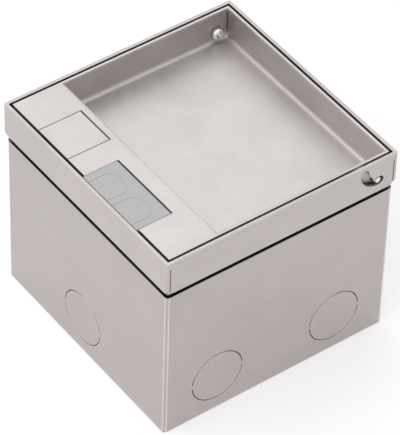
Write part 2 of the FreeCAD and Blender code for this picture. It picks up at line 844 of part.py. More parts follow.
def make_earth_clip(x):
    """Bent earthing strip: two springs up the well's sides, joined under its floor."""
    y = module_centre_y
    z0 = socket_base_top - earth_clip_sheet
    z1 = carrier_top + module_rim - earth_clip_drop
    half = earth_clip_width / 2
    outer = well_radius + earth_clip_sheet / 2
    strip = box(x - half, x + half, y - outer, y + outer, z0, z1)
    inside = outer - earth_clip_sheet
    return strip.cut(box(x - half, x + half, y - inside, y + inside, z0 + earth_clip_sheet, z1))


def make_socket_base(x):
    """Insulating block behind the well, with chambers for the contacts."""
    y = module_centre_y
    z1 = socket_base_top
    z0 = z1 - socket_base_height
    half = socket_base_side / 2
    base = box(x - half, x + half, y - half, y + half, z0, z1)
    base = base.makeFillet(socket_base_corner, upright_edges(base))
    trough = earth_clip_width / 2 + earth_trough_play
    base = base.cut(box(x - trough, x + trough, y - half, y + half,
                        z1 - earth_clip_sheet - earth_trough_play, z1))
    for sign in (-1, 1):
        hole_x = x + sign * contact_spacing / 2
        base = base.cut(cylinder(sleeve_radius + clearance, sleeve_length + clearance, hole_x, y,
                                 z1 - sleeve_length - clearance))
        for place in terminal_places(y):
            base = base.cut(cylinder(terminal_radius + clearance, terminal_hole_depth,
                                     hole_x, place, z0))
    return base


def terminal_places(y):
    """Y places of the terminals on the underside of a socket base."""
    return [y - terminal_spacing / 2, y + terminal_spacing / 2]


def make_contact_sleeves(x):
    """Two split sleeves that grip the plug's pins."""
    sleeve = cylinder(sleeve_radius, sleeve_length, 0, 0, -sleeve_length)
    bore_depth = sleeve_length - sleeve_floor
    sleeve = sleeve.cut(cylinder(sleeve_bore, bore_depth, 0, 0, -bore_depth))
    sleeve = sleeve.cut(box(-sleeve_slit / 2, sleeve_slit / 2, -sleeve_radius, sleeve_radius,
                            sleeve_slit_end - sleeve_length, 0))
    return group([placed(sleeve, x + sign * contact_spacing / 2, module_centre_y, socket_base_top)
                  for sign in (-1, 1)])


def make_terminal_screws(x):
    """Terminal screws on the underside of a socket base."""
    z0 = socket_base_top - socket_base_height
    screw = plain_screw(terminal_radius, terminal_length, terminal_head_radius, terminal_head_height)
    down = Z_AXIS * -1
    solids = []
    for sign in (-1, 1):
        for place in terminal_places(module_centre_y):
            solids.append(placed(screw, x + sign * contact_spacing / 2, place, z0, down))
    return group(solids)


# ---------------------------------------------------------------- all nodes
def build_nodes():
    """Every node's name and shape."""
    nodes = {}
    nodes["box_walls"] = make_box_walls()
    nodes["base_plate"] = make_base_plate()
    nodes["levelling_brackets"] = make_levelling_brackets()
    nodes["rivet_nuts"] = make_rivet_nuts()
    nodes["earth_stud"], nodes["earth_washer"], nodes["earth_nut"] = make_earthing()
    nodes["top_frame"] = make_top_frame()
    nodes["ledge_frame"] = make_ledge_frame()
    nodes["lid_seal"] = make_lid_seal()
    for name, x, y in four_corners(levelling_place):
        nodes["levelling_screw_" + name] = make_levelling_screw(x, y)
        nodes["support_nut_" + name] = make_support_nut(x, y)
    nodes["lid_tray"] = make_lid_tray()
    nodes["hinge_screws"], nodes["hinge_washers"] = make_hinge_parts()
    nodes["outlet_flap"] = make_outlet_flap()
    nodes["flap_bracket"] = make_flap_bracket()
    nodes["flap_pin"] = make_flap_pin()
    nodes["outlet_insert"] = make_outlet_insert()
    nodes["socket_carrier"] = make_socket_carrier()
    nodes["carrier_screws"], nodes["carrier_nuts"] = make_carrier_fasteners()
    nodes["cable_clamp"], nodes["clamp_screws"] = make_cable_clamp()
    for side, x in zip(("left", "right"), module_places()):
        nodes["socket_cover_" + side] = make_socket_cover(x)
        nodes["socket_base_" + side] = make_socket_base(x)
        nodes["contact_sleeves_" + side] = make_contact_sleeves(x)
        nodes["earth_clip_" + side] = make_earth_clip(x)
        nodes["terminal_screws_" + side] = make_terminal_screws(x)
    return nodes


os.makedirs("parts", exist_ok=True)
for node_name, node_shape in build_nodes().items():
    node_shape.exportStep("parts/" + node_name + ".step")
    print(node_name, len(node_shape.Solids), round(node_shape.Volume, 1))
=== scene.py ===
# %% [markdown]
# # Dressing a floor socket box
# The box is set into a screed floor. A folded steel housing carries a square frame, a lid with a
# tray for the floor covering lies in the frame, and a small flap and a plastic insert let the
# cords out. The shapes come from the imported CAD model. Blender adds what CAD leaves out: the
# brushed grain, the zinc, the moulded plastics, and the threads and recesses of the fasteners.

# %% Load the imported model
import json
import math

import bmesh
import bpy
from mathutils import Matrix, Vector


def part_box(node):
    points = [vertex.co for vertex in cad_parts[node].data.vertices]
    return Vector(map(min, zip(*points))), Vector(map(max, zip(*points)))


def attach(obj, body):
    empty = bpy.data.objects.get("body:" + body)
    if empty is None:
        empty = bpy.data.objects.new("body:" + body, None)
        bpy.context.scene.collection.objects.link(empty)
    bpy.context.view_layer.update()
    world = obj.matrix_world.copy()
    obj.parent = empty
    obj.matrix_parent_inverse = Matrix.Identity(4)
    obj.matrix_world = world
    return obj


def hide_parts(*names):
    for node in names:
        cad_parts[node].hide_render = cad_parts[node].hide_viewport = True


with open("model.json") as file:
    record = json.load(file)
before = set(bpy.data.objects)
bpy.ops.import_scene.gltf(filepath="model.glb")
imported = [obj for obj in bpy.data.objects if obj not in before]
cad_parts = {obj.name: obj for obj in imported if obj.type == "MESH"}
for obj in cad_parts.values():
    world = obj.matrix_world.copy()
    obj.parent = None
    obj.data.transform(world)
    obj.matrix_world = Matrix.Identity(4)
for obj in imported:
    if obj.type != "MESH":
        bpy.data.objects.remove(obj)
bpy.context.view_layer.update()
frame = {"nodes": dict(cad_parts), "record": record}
nodes = frame["nodes"]


def into_scene(name, data):
    """Makes an object from a mesh, a lamp or a camera and puts it in the scene."""
    thing = bpy.data.objects.new(name, data)
    bpy.context.scene.collection.objects.link(thing)
    return thing


# %% [markdown]
# ## The camera
# A long lens some 1.8 m away keeps the upright edges nearly parallel. It looks down over the front
# right corner, and is placed by two angles about a point near the middle of the box, so each
# number says one thing. A hand-held camera is never quite level, so a small roll comes last.

# %% Camera
look_at = Vector((0.0010, 0.0013, 0.0596))
camera_distance = 1.8139
camera_turn = math.radians(52.66)
camera_height = math.radians(43.99)
camera_roll = math.radians(1.88)
camera_lens = 283.57

away = Vector((math.sin(camera_turn) * math.cos(camera_height),
               -math.cos(camera_turn) * math.cos(camera_height),
               math.sin(camera_height)))
camera_data = bpy.data.cameras.new("camera")
camera_data.lens = camera_lens
camera_data.clip_start = 0.1
camera_data.clip_end = 20.0
camera = into_scene("camera", camera_data)
facing = (-away).to_track_quat("-Z", "Y").to_matrix().to_4x4()
camera.matrix_world = (Matrix.Translation(look_at + away * camera_distance) @ facing
                       @ Matrix.Rotation(camera_roll, 4, "Z"))
bpy.context.scene.camera = camera
print("camera at", [round(v, 3) for v in camera.matrix_world.translation])

# %% [markdown]
# ## A helper for nodes
# Every material here is a small network of shader nodes, and the screws come from a network of
# geometry nodes. Adding a node, setting its values and wiring its sockets takes three or four
# lines each time, so one helper does it in a single call: a plain value is set on the socket,
# and a socket of another node is linked to it.

# %% Node helper
def add_node(tree, kind, settings=None, **inputs):
    """Adds a node; inputs are named with _ for a space, or i0, i1 by number."""
    node = tree.nodes.new(kind)
    for key, value in (settings or {}).items():
        setattr(node, key, value)
    for key, value in inputs.items():
        numbered = key[0] == "i" and key[1:].isdigit()
        socket = node.inputs[int(key[1:]) if numbered else key.replace("_", " ")]
        for one in value if isinstance(value, list) else [value]:
            if isinstance(one, bpy.types.NodeSocket):
                tree.links.new(one, socket)
            else:
                socket.default_value = one
    return node


# %% [markdown]
# ## A helper for shaders
# Most of a finish is arithmetic on values from 0 to 1: where a pattern is strong, how high a point
# lies, how near it is to a fold. Each step becomes a short method, so that a finish further down
# reads as what it is made of. The world has shader nodes too, and shares the same steps.

# %% Shader helper
class Network:
    """The shader nodes of a material or of the world."""

    def __init__(self, owner):
        owner.use_nodes = True
        self.tree = owner.node_tree
        self.tree.nodes.clear()

    def add(self, kind, settings=None, **inputs):
        """Adds a shader node; kind is its type without the words ShaderNode."""
        return add_node(self.tree, "ShaderNode" + kind, settings, **inputs)

    def sums(self, operation, a, b=0.0):
        """One step of arithmetic, on one value or two."""
        return self.add("Math", {"operation": operation}, i0=a, i1=b).outputs[0]

    def less(self, a, b):
        """What is left of a when b is taken away."""
        return self.sums("SUBTRACT", a, b)

    def apart(self, a, b):
        """How far two values are apart."""
        return self.sums("ABSOLUTE", self.less(a, b))

    def both(self, a, b):
        """1 where two values from 0 to 1 are both 1."""
        return self.sums("MULTIPLY", a, b)

    def shared(self, a, b, share):
        """Two values added up, b by its share of the whole and a by the rest."""
        return self.sums("ADD", self.sums("MULTIPLY", a, 1.0 - share),
                         self.sums("MULTIPLY", b, share))

    def between(self, value, low, high):
        """A value from 0 to 1 spread from low to high."""
        return self.add("MapRange", i0=value, i3=low, i4=high).outputs[0]

    def ramp(self, value, start, end):
        """0 up to start, 1 from end on, and a straight way between; start may be the larger."""
        return self.add("MapRange", i0=value, i1=start, i2=end).outputs[0]

    def band(self, value, rise, fall):
        """1 from one ramp to another: each is given by where it is 0 and where it is 1."""
        return self.both(self.ramp(value, *rise), self.ramp(value, *fall))

    def seen_directly(self):
        """1 for rays from the camera, from a mirror or through glass, and 0 for other light."""
        path = self.add("LightPath").outputs
        straight = self.sums("MAXIMUM", path["Is Camera Ray"], path["Is Glossy Ray"])
        return self.sums("MAXIMUM", straight, path["Is Transmission Ray"])


# %% [markdown]
# A material adds patterns, colours and relief to those steps. Its patterns read the piece's own
# coordinates in metres, so a scratch or a grain has the same real size on every piece and moves
# with the piece. Bent sheet and moulded edges are never quite sharp: the Bevel node eases the
# light across them without a change to the CAD mesh.

# %% Finish helper
class Finish(Network):
    """One material."""

    def __init__(self, name):
        self.material = bpy.data.materials.new(name)
        super().__init__(self.material)

    def place(self, scale, location=(0, 0, 0)):
        """The piece's own coordinates in metres, times scale, as a pattern needs them.

        scale is one number, or one for each of X, Y and Z."""
        where = self.add("TexCoord").outputs["Object"]
        each_way = scale if isinstance(scale, tuple) else (scale, scale, scale)
        return self.add("Mapping", Vector=where, Scale=each_way, Location=location).outputs[0]

    def noise(self, scale, detail=2.0, rough=0.5, location=(0, 0, 0)):
        """A noise value whose patches are about 1/scale metres long."""
        return self.add("TexNoise", Vector=self.place(scale, location), Scale=1.0,
                        Detail=detail, Roughness=rough).outputs["Fac"]

    def offsets(self):
        """How far a point is from the box's middle along X and Y, and its height, in metres."""
        parts = self.add("SeparateXYZ", Vector=self.place(1)).outputs
        return self.sums("ABSOLUTE", parts[0]), self.sums("ABSOLUTE", parts[1]), parts[2]

    def tones(self, value, dark, light):
        """A colour between two, by a value from 0 to 1."""
        mixed = self.add("Mix", {"data_type": "RGBA"}, i0=value, i6=(*dark, 1), i7=(*light, 1))
        return mixed.outputs[2]

    def scaled(self, colour, where, share):
        """A colour times a share where a value from 0 to 1 says so: below 1 it is darker."""
        mixed = self.add("Mix", {"data_type": "RGBA", "blend_type": "MULTIPLY"}, i0=where,
                         i6=colour, i7=(share, share, share, 1))
        return mixed.outputs[2]

    def relief(self, height, depth, strength, soften, wide=None):
        """A normal from a height pattern depth metres deep, with edges eased by a small radius.

        wide is a larger radius and the value from 0 to 1 that says where it holds."""
        eased = self.add("Bevel", {"samples": 6}, Radius=soften).outputs[0]
        if wide:
            radius, where = wide
            rounder = self.add("Bevel", {"samples": 12}, Radius=radius).outputs[0]
            eased = self.add("Mix", {"data_type": "VECTOR"}, i0=where, i4=eased,
                             i5=rounder).outputs[1]
        return self.add("Bump", i0=strength, i1=depth, Height=height, Normal=eased).outputs[0]

    def done(self, **surface):
        """Ends the network in a Principled surface and returns the material."""
        shader = self.add("BsdfPrincipled", **surface)
        self.add("OutputMaterial", Surface=shader.outputs[0])
        print("material", self.material.name, len(self.tree.nodes), "nodes")
        return self.material


# %% [markdown]
# ## Floor and studio
# The box stands on a plain pale sweep under three soft boxes. Steel shows the room rather than its
# own colour, so the floor and the world are pale to the camera and to reflections, and a darker
# grey to the rest of the light. The floor is still lit by the lamps, which is how the shadow of
# the box stays on it and darkens what the sides mirror. A little glow lifts it towards white.

# %% Floor
bpy.context.scene.view_settings.view_transform = "Standard"
floor_reach = 3.0
floor_drop = 0.0002
floor_lit = (0.70, 0.70, 0.70)
floor_seen = (0.95, 0.95, 0.95)
glow_seen = 0.28
glow_to_camera = 0.12

floor_corners = [(x * floor_reach, y * floor_reach, -floor_drop)
                 for x, y in ((-1, -1), (1, -1), (1, 1), (-1, 1))]
floor_mesh = bpy.data.meshes.new("studio_floor")
floor_mesh.from_pydata(floor_corners, [], [(0, 1, 2, 3)])
floor = into_scene("studio_floor", floor_mesh)
sweep = Finish("studio_sweep")
matt = sweep.add("BsdfDiffuse", Color=sweep.tones(sweep.seen_directly(), floor_lit, floor_seen))
to_camera = sweep.add("LightPath").outputs["Is Camera Ray"]
glow = sweep.sums("ADD", sweep.between(sweep.seen_directly(), 0.0, glow_seen),
                  sweep.between(to_camera, 0.0, glow_to_camera))
glowing = sweep.add("Emission", Color=(1, 1, 1, 1), Strength=glow)
together = sweep.add("AddShader", i0=matt.outputs[0], i1=glowing.outputs[0])
sweep.add("OutputMaterial", Surface=together.outputs[0])
floor_mesh.materials.append(sweep.material)
print("floor", 2 * floor_reach, "m square")

# %% World and soft boxes
sky_grey = (0.8, 0.8, 0.8, 1)
sky_lit = 0.45
sky_seen = 1.0

world = bpy.data.worlds.new("studio")
bpy.context.scene.world = world
sky = Network(world)
sky_level = sky.between(sky.seen_directly(), sky_lit, sky_seen)
background = sky.add("Background", Color=sky_grey, Strength=sky_level)
sky.add("OutputWorld", Surface=background.outputs[0])


def soft_box(name, place, size, power):
    """A square lamp that faces the middle of the floor box."""
    data = bpy.data.lights.new(name, "AREA")
    data.size = size
    data.energy = power
    lamp = into_scene(name, data)
    lamp.location = place
    lamp.rotation_euler = (look_at - Vector(place)).to_track_quat("-Z", "Y").to_euler()
    print(name, power, "W at", place)


soft_box("key_box", (0.10, -1.60, 1.20), size=2.2, power=11.0)
soft_box("back_box", (-1.10, 0.84, 1.34), size=1.6, power=2.9)
soft_box("top_box", (-0.30, -0.10, 1.85), size=2.2, power=9.0)

# %% [markdown]
# ## Brushed stainless steel
# Lid, flap, frame and housing are stainless sheet, ground with a belt. The grit leaves fine
# parallel scratches a fraction of a millimetre wide and some centimetres long, in broader bands,
# and handling leaves soft clouds on top. A picture of brushed steel could be wrapped round the
# parts, but a noise pattern stretched along the belt's way does the same from nothing, on every
# face at once, and stays sharp when the eye comes close. Scratches drive three things together: a
# slight relief, the roughness and a trace of tone.

# %% Brushed steel
class BrushedSteel(Finish):
    """Ground sheet; along is the belt's way as (x, y, z), each 1 along it and 0 across.

    haze is how much of the tone is cloudy, from handling, where the rest is scratches."""

    hair_scale = (45, 5200)
    band_scale = (9, 700)
    band_place = (3, 7, 5)
    band_share = 0.4
    cloud_scale = 38
    tone_range = (0.36, 0.64)
    cloud_range = (0.3, 0.7)
    cloud_roughness = (-0.04, 0.05)
    grain_roughness = (-0.05, 0.07)
    scratch_depth = 0.00002
    scratch_strength = 0.22

    def __init__(self, name, along, dark, light, shine, edge, haze=0.45):
        super().__init__(name)
        self.along = along
        self.shine = shine
        self.edge = edge
        self.wide = None
        hairs = self.streaks(*self.hair_scale, detail=3.0, rough=0.65)
        bands = self.streaks(*self.band_scale, location=self.band_place)
        clouds = self.noise(self.cloud_scale, detail=4.0, rough=0.6)
        self.grain = self.shared(hairs, bands, self.band_share)
        # noise keeps to the middle of its range, so a ramp stretches it before it is used
        tone = self.ramp(self.shared(self.grain, clouds, haze), *self.tone_range)
        self.colour = self.tones(tone, dark, light)
        self.cloudy = self.between(self.ramp(clouds, *self.cloud_range), *self.cloud_roughness)

    def streaks(self, along_scale, across_scale, **settings):
        """A noise drawn out along the belt's way, by its scale along that way and across it."""
        return self.noise(tuple(along_scale if a else across_scale for a in self.along), **settings)

    def shade(self, where, share):
        """Makes the steel darker or brighter where a value from 0 to 1 says so."""
        self.colour = self.scaled(self.colour, where, share)

    def finished(self):
        """Closes the network; what was shaded before it stays."""
        grainy = self.between(self.grain, *(self.shine + change for change in self.grain_roughness))
        scratched = self.relief(self.grain, self.scratch_depth, self.scratch_strength,
                                soften=self.edge, wide=self.wide)
        return self.done(Base_Color=self.colour, Metallic=1.0,
                         Roughness=self.sums("ADD", grainy, self.cloudy), Normal=scratched)


# %% [markdown]
# The lid is handled most, so its tone is cloudy and its scratches faint. The standing sides of the
# tray carry a painted shade, and the fold behind the front strip carries painted light that lifts
# the shade along it. The folds round the tray's floor have a large radius, which the CAD shows by a
# few facets: a wide Bevel rolls the light over them. Each place is found by height and by distance
# from the middle of the box.

# %% The lid's finish
lid_low, lid_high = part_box("lid_tray")
strip_width = 0.0316
sides_start = (0.0022, 0.0045)
sides_end = (0.0012, 0.0024)
painted_shade_on_sides = 0.90
strip_fold_offset = 0.0006
strip_fold_half_width = (0.0019, 0.0014)
strip_fold_ends = (0.0676, 0.0670)
strip_fold_top = (0.00004, 0.0002)
strip_fold_foot = (0.0026, 0.0018)
painted_light_on_strip_fold = 1.45
tray_fold_radius = 0.0032
tray_fold_height = (0.0080, 0.0060)

lid_finish = BrushedSteel("brushed_steel_lid", (1, 0, 0), dark=(0.558, 0.524, 0.521),
                          light=(0.634, 0.599, 0.596), shine=0.42, edge=0.0007, haze=0.8)
off_x, off_y, height = lid_finish.offsets()
above_foot = lid_finish.less(height, lid_low.z)
below_top = lid_finish.less(lid_high.z, height)
standing = lid_finish.both(lid_finish.ramp(above_foot, *sides_start),
                           lid_finish.ramp(below_top, *sides_end))
from_line = lid_finish.apart(off_y, abs(lid_low.y + strip_width) + strip_fold_offset)
on_line = lid_finish.both(lid_finish.ramp(from_line, *strip_fold_half_width),
                          lid_finish.ramp(off_x, *strip_fold_ends))
# painted shade: the tray's standing sides are darkened
lid_finish.shade(standing, painted_shade_on_sides)
# painted light: the fold behind the front strip is brightened, lifting its shade
lid_finish.shade(lid_finish.both(on_line, lid_finish.band(below_top, strip_fold_top, strip_fold_foot)),
                 painted_light_on_strip_fold)
lid_finish.wide = (tray_fold_radius, lid_finish.ramp(above_foot, *tray_fold_height))
lid_steel = lid_finish.finished()

# %% [markdown]
# The top edges of the frame carry a painted shade that makes them a little darker than its faces,
# and the inside faces of its flanges carry a stronger painted shade, where they face the lid across
# a narrow gap.

# %% The frame's finish
frame_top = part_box("top_frame")[1].z
flange_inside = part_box("ledge_frame")[1].x
top_edge_depth = (0.0003, 0.0001)
painted_shade_on_top_edge = 0.92
inside_face_depth = (0.0003, 0.0001)
painted_shade_inside_flanges = 0.45

frame_finish = BrushedSteel("brushed_steel_frame", (1, 1, 0), dark=(0.550, 0.508, 0.500),
                            light=(0.640, 0.592, 0.583), shine=0.34, edge=0.0004)
off_x, off_y, height = frame_finish.offsets()
below_top = frame_finish.less(frame_top, height)
into_flange = frame_finish.less(frame_finish.sums("MAXIMUM", off_x, off_y), flange_inside)
# painted shade: the frame's top edges are darkened
frame_finish.shade(frame_finish.ramp(below_top, *top_edge_depth), painted_shade_on_top_edge)
# painted shade: the inside faces of the flanges, in the gap round the lid, are darkened
frame_finish.shade(frame_finish.ramp(into_flange, *inside_face_depth), painted_shade_inside_flanges)
frame_steel = frame_finish.finished()

# %% [markdown]
# Painted highlights run along both edges of each fold at the housing's corners. The walls of the
# knockout slits carry painted light that lifts the shade inside them, and the top rim under the
# frame carries a dark painted shade, under the frame's overhang. The slits are told from the outer
# face by how deep a point lies in the sheet. The rounded corners lie deeper too, so they are kept
# out.

# %% The housing's finish
housing_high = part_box("box_walls")[1]
fold_line = 0.0015
fold_line_half_width = (0.0006, 0.0002)
painted_highlight_on_folds = 1.45
clear_of_fold = (0.005, 0.007)
slit_face = (0.00002, 0.00008)
slit_back = (0.0009, 0.0007)
painted_light_in_slits = 1.6
rim_depth = (0.0002, 0.0001)
painted_shade_on_rim = 0.18

housing_finish = BrushedSteel("brushed_steel_housing", (1, 1, 0), dark=(0.520, 0.478, 0.472),
                              light=(0.590, 0.545, 0.538), shine=0.36, edge=0.0004)
off_x, off_y, height = housing_finish.offsets()
from_fold = housing_finish.apart(off_x, off_y)
from_line = housing_finish.apart(from_fold, fold_line)
deep = housing_finish.less(housing_high.x, housing_finish.sums("MAXIMUM", off_x, off_y))
slit_wall = housing_finish.both(housing_finish.band(deep, slit_face, slit_back),
                                housing_finish.ramp(from_fold, *clear_of_fold))
below_rim = housing_finish.less(housing_high.z, height)
# painted highlights along both edges of each corner fold
housing_finish.shade(housing_finish.ramp(from_line, *fold_line_half_width), painted_highlight_on_folds)
# painted light: the slit walls are brightened, lifting the shade inside them
housing_finish.shade(slit_wall, painted_light_in_slits)
# painted shade: the top rim under the frame's overhang is darkened
housing_finish.shade(housing_finish.ramp(below_rim, *rim_depth), painted_shade_on_rim)
housing_steel = housing_finish.finished()

# %% [markdown]
# ## Zinc and plating
# What the floor hides is cheaper: hot-dip zinc sheet with its flat crystals, bright plated screws,
# nickelled brass in the sockets. The crystals could be drawn as an image, but Voronoi cells are
# just such flat patches that meet at straight edges, so each cell takes one shade.

# %% Zinc sheet and plated fasteners
def zinc_sheet(name, dark, light, crystal_scale=230, dust_scale=900, dust_share=0.3):
    """Galvanised sheet with its spangle of crystals a few millimetres across, under fine dust."""
    finish = Finish(name)
    cells = finish.add("TexVoronoi", Vector=finish.place(crystal_scale), Scale=1.0,
                       Randomness=1.0).outputs["Color"]
    dust = finish.noise(dust_scale, detail=3.0)
    tone = finish.shared(finish.add("RGBToBW", Color=cells).outputs[0], dust, dust_share)
    return finish.done(Base_Color=finish.tones(tone, dark, light), Metallic=1.0,
                       Roughness=finish.between(tone, 0.36, 0.56),
                       Normal=finish.relief(dust, 0.00002, strength=0.3, soften=0.0003))


def plated(name, dark, light, shine, mark_scale=(2500, 2500, 900), film_scale=160):
    """Bright plating on a small turned or pressed part, with faint turning marks."""
    finish = Finish(name)
    marks = finish.noise(mark_scale, detail=3.0)
    film = finish.noise(film_scale)
    return finish.done(Base_Color=finish.tones(film, dark, light), Metallic=1.0,
                       Roughness=finish.between(marks, shine - 0.06, shine + 0.1),
                       Normal=finish.relief(marks, 0.00001, strength=0.3, soften=0.0002))


zinc = zinc_sheet("zinc_sheet", dark=(0.42, 0.43, 0.44), light=(0.62, 0.63, 0.64))
plated_steel = plated("plated_fasteners", dark=(0.60, 0.59, 0.56), light=(0.74, 0.73, 0.70),
                      shine=0.24)
bright_plate = plated("bright_plate", dark=(0.80, 0.79, 0.77), light=(0.90, 0.89, 0.87),
                      shine=0.16)
brass = plated("nickelled_brass", dark=(0.62, 0.49, 0.24), light=(0.76, 0.61, 0.32), shine=0.26)

# %% [markdown]
# ## Plastics and rubber
# Moulded plastic carries a spark-eroded texture, a very fine even noise that breaks the shine.
# The grooves round the grey insert's break-outs carry painted light that lifts the shade in them,
# so what lies below the insert's face takes a brighter tone.

# %% Plastics and rubber
groove_depth = (0.00006, 0.00020)


def moulded(name, dark, light, rough, grain=3800, flow_scale=45, groove=None):
    """Moulded plastic or rubber; groove is a face's height and a share of painted light for what
    lies below.
    """
    finish = Finish(name)
    texture = finish.noise(grain)
    colour = finish.tones(finish.noise(flow_scale), dark, light)
    if groove:
        face, share = groove
        # painted light: what lies below the face is brightened, lifting the shade in the grooves
        sunk = finish.ramp(finish.less(face, finish.offsets()[2]), *groove_depth)
        colour = finish.scaled(colour, sunk, share)
    return finish.done(Base_Color=colour,
                       Roughness=finish.between(texture, rough - 0.07, rough + 0.07),
                       Normal=finish.relief(texture, 0.00003, strength=0.4, soften=0.0003))


insert_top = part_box("outlet_insert")[1].z
# the 1.35 is painted light that lifts the shade in the insert's grooves
grey_plastic = moulded("grey_plastic", dark=(0.640, 0.650, 0.638), light=(0.672, 0.682, 0.670),
                       rough=0.46, groove=(insert_top, 1.35))
white_plastic = moulded("white_plastic", dark=(0.76, 0.76, 0.74), light=(0.82, 0.82, 0.80),
                        rough=0.34)
dark_insulator = moulded("dark_insulator", dark=(0.045, 0.047, 0.052),
                         light=(0.065, 0.067, 0.072), rough=0.5)
black_plastic = moulded("black_plastic", dark=(0.020, 0.020, 0.021), light=(0.032, 0.032, 0.033),
                        rough=0.45)
washer_plastic = moulded("washer_plastic", dark=(0.20, 0.20, 0.20), light=(0.34, 0.34, 0.33),
                         rough=0.30, grain=900)
black_rubber = moulded("black_rubber", dark=(0.014, 0.014, 0.014), light=(0.024, 0.024, 0.024),
                       rough=0.75, grain=1500)

# %% [markdown]
# ## Who wears what
# Each CAD node keeps its shape and takes one of these finishes in its material slots. The record
# names a slot for every node, so the list below is short: one finish for each slot, and three
# nodes that differ: two that the belt ran over another way, and the washers of the hinge.

# %% Dress the CAD nodes
slot_finish = {
    "brushed_stainless": lid_steel, "zinc_sheet": zinc, "zinc_fasteners": plated_steel,
    "grey_plastic": grey_plastic, "white_plastic": white_plastic,
    "dark_insulator": dark_insulator, "black_plastic": black_plastic,
    "black_rubber": black_rubber, "brass": brass,
}
own_finish = {"top_frame": frame_steel, "box_walls": housing_steel,
              "hinge_washers": washer_plastic}


def dress(node, finish):
    """Puts one finish in every material slot of a CAD node."""
    if not node.material_slots:
        node.data.materials.append(finish)
    for mesh_slot in node.material_slots:
        mesh_slot.material = finish


slot_of = {part["node"]: part["material_slot"] for part in frame["record"]["subparts"]}
for node_name, node in nodes.items():
    dress(node, own_finish.get(node_name, slot_finish[slot_of[node_name]]))
print("dressed", len(nodes), "nodes in", len(set(slot_of.values())), "slots")

# %% [markdown]
# ## Screws by rule
# A screw is a head, a recess, a shank and a thread, and each follows from a few sizes, so one
# Geometry Nodes tree makes all of them, with the sizes as its inputs. Modelling one screw by hand
# and copying it would be as quick, but a new pitch or head would mean starting again.

# %% The tree and its inputs
class ScrewRule:
    """A Geometry Nodes tree whose inputs are the sizes of a screw."""

    sizes = ("Head Radius", "Head Height", "Seat Share", "Crown Share", "Bulge",
             "Recess Depth", "Recess Turn", "Shank Radius", "Length", "Pitch")

    def __init__(self):
        self.tree = bpy.data.node_groups.new("threaded_screw", "GeometryNodeTree")
        inputs = [("Points", "Geometry"), *((size, "Float") for size in self.sizes),
                  ("Finish", "Material")]
        for name, kind in inputs:
            self.tree.interface.new_socket(name, in_out="INPUT", socket_type="NodeSocket" + kind)
        self.tree.interface.new_socket("Screws", in_out="OUTPUT",
                                       socket_type="NodeSocketGeometry")
        self.given = self.tree.nodes.new("NodeGroupInput").outputs

    def geo(self, kind, settings=None, **inputs):
        """Adds a geometry node; kind is its type without the words GeometryNode."""
        return add_node(self.tree, "GeometryNode" + kind, settings, **inputs)

    def maths(self, operation, a, b):
        """One step of arithmetic on two values."""
        maths_node = add_node(self.tree, "ShaderNodeMath", {"operation": operation}, i0=a, i1=b)
        return maths_node.outputs[0]

    def times(self, size, factor):
        """One of the given sizes times a factor."""
        return self.maths("MULTIPLY", self.given[size], factor)

    def vector(self, x, y, z):
        """A vector from three values."""
        return add_node(self.tree, "ShaderNodeCombineXYZ", i0=x, i1=y, i2=z).outputs[0]

    def lifted(self, piece, height):
        """A mesh or a curve moved up by a height."""
        move = self.vector(0.0, 0.0, height)
        return self.geo("Transform", i0=piece, i1=move).outputs[0]


screw_rule = ScrewRule()
print("screw tree:", len(screw_rule.sizes), "sizes to give")

# %% [markdown]
# The head is a cylinder that stands on its seat. Its rings change width on the way up: narrower
# along a bulging curve for a pan head, and wider in a straight line for a countersunk one.

# %% The head
head_sides = 40
head_rings = 7


def screw_head(rule):
    """A cylinder with its foot at zero, and a width that goes from seat to crown."""
    given = rule.given
    rod = rule.geo("MeshCylinder", Vertices=head_sides, Side_Segments=head_rings,
                   Radius=given["Head Radius"], Depth=given["Head Height"])
    seated = rule.lifted(rod.outputs["Mesh"], rule.times("Head Height", 0.5))
    here = rule.geo("InputPosition").outputs[0]
    here_up = add_node(rule.tree, "ShaderNodeSeparateXYZ", i0=here).outputs["Z"]
    rise = rule.maths("DIVIDE", here_up, given["Head Height"])
    curve = rule.maths("POWER", rule.maths("MAXIMUM", rise, 0.0), given["Bulge"])
    change = rule.maths("SUBTRACT", given["Crown Share"], given["Seat Share"])
    share = rule.maths("ADD", given["Seat Share"], rule.maths("MULTIPLY", curve, change))
    moved = add_node(rule.tree, "ShaderNodeVectorMath", {"operation": "MULTIPLY"}, i0=here,
                     i1=rule.vector(share, share, 1.0)).outputs[0]
    return rule.geo("SetPosition", Geometry=seated, Position=moved).outputs[0]


# %% [markdown]
# The driver's cross recess is cut, not drawn, so that it has real walls. Two crossed blocks do
# it, twice as tall as the recess is deep, because their upper half stands clear of the crown.

# %% The recess
arm_length = 1.16
arm_width = 0.29


def with_recess(rule, head):
    """Cuts a cross out of the crown; its arms are sized as shares of the head's radius."""
    long_side = rule.times("Head Radius", arm_length)
    short_side = rule.times("Head Radius", arm_width)
    tall = rule.times("Recess Depth", 2.0)
    at_crown = rule.vector(0.0, 0.0, rule.given["Head Height"])
    turn = rule.vector(0.0, 0.0, rule.given["Recess Turn"])
    arms = []
    for sides in ((long_side, short_side), (short_side, long_side)):
        block = rule.geo("MeshCube", Size=rule.vector(*sides, tall)).outputs["Mesh"]
        arms.append(rule.geo("Transform", i0=block, i1=at_crown, i2=turn).outputs[0])
    cut = rule.geo("MeshBoolean", {"operation": "DIFFERENCE", "solver": "EXACT"},
                   Mesh_1=head, Mesh_2=arms)
    return cut.outputs["Mesh"]


# %% [markdown]
# The thread is a small diamond swept along a spiral round a thinner core, and its outer edge is
# the size the CAD gives the shank. The spiral is right-handed, and it has to be: the levelling
# screws turn once for every step of their pitch that the frame rises, so the thread seems to
# stand still in its nut.

# %% The shank and its thread
thread_depth = 0.48
core_sides = 24
steps_in_a_turn = 18
turns_left_plain = 1.2


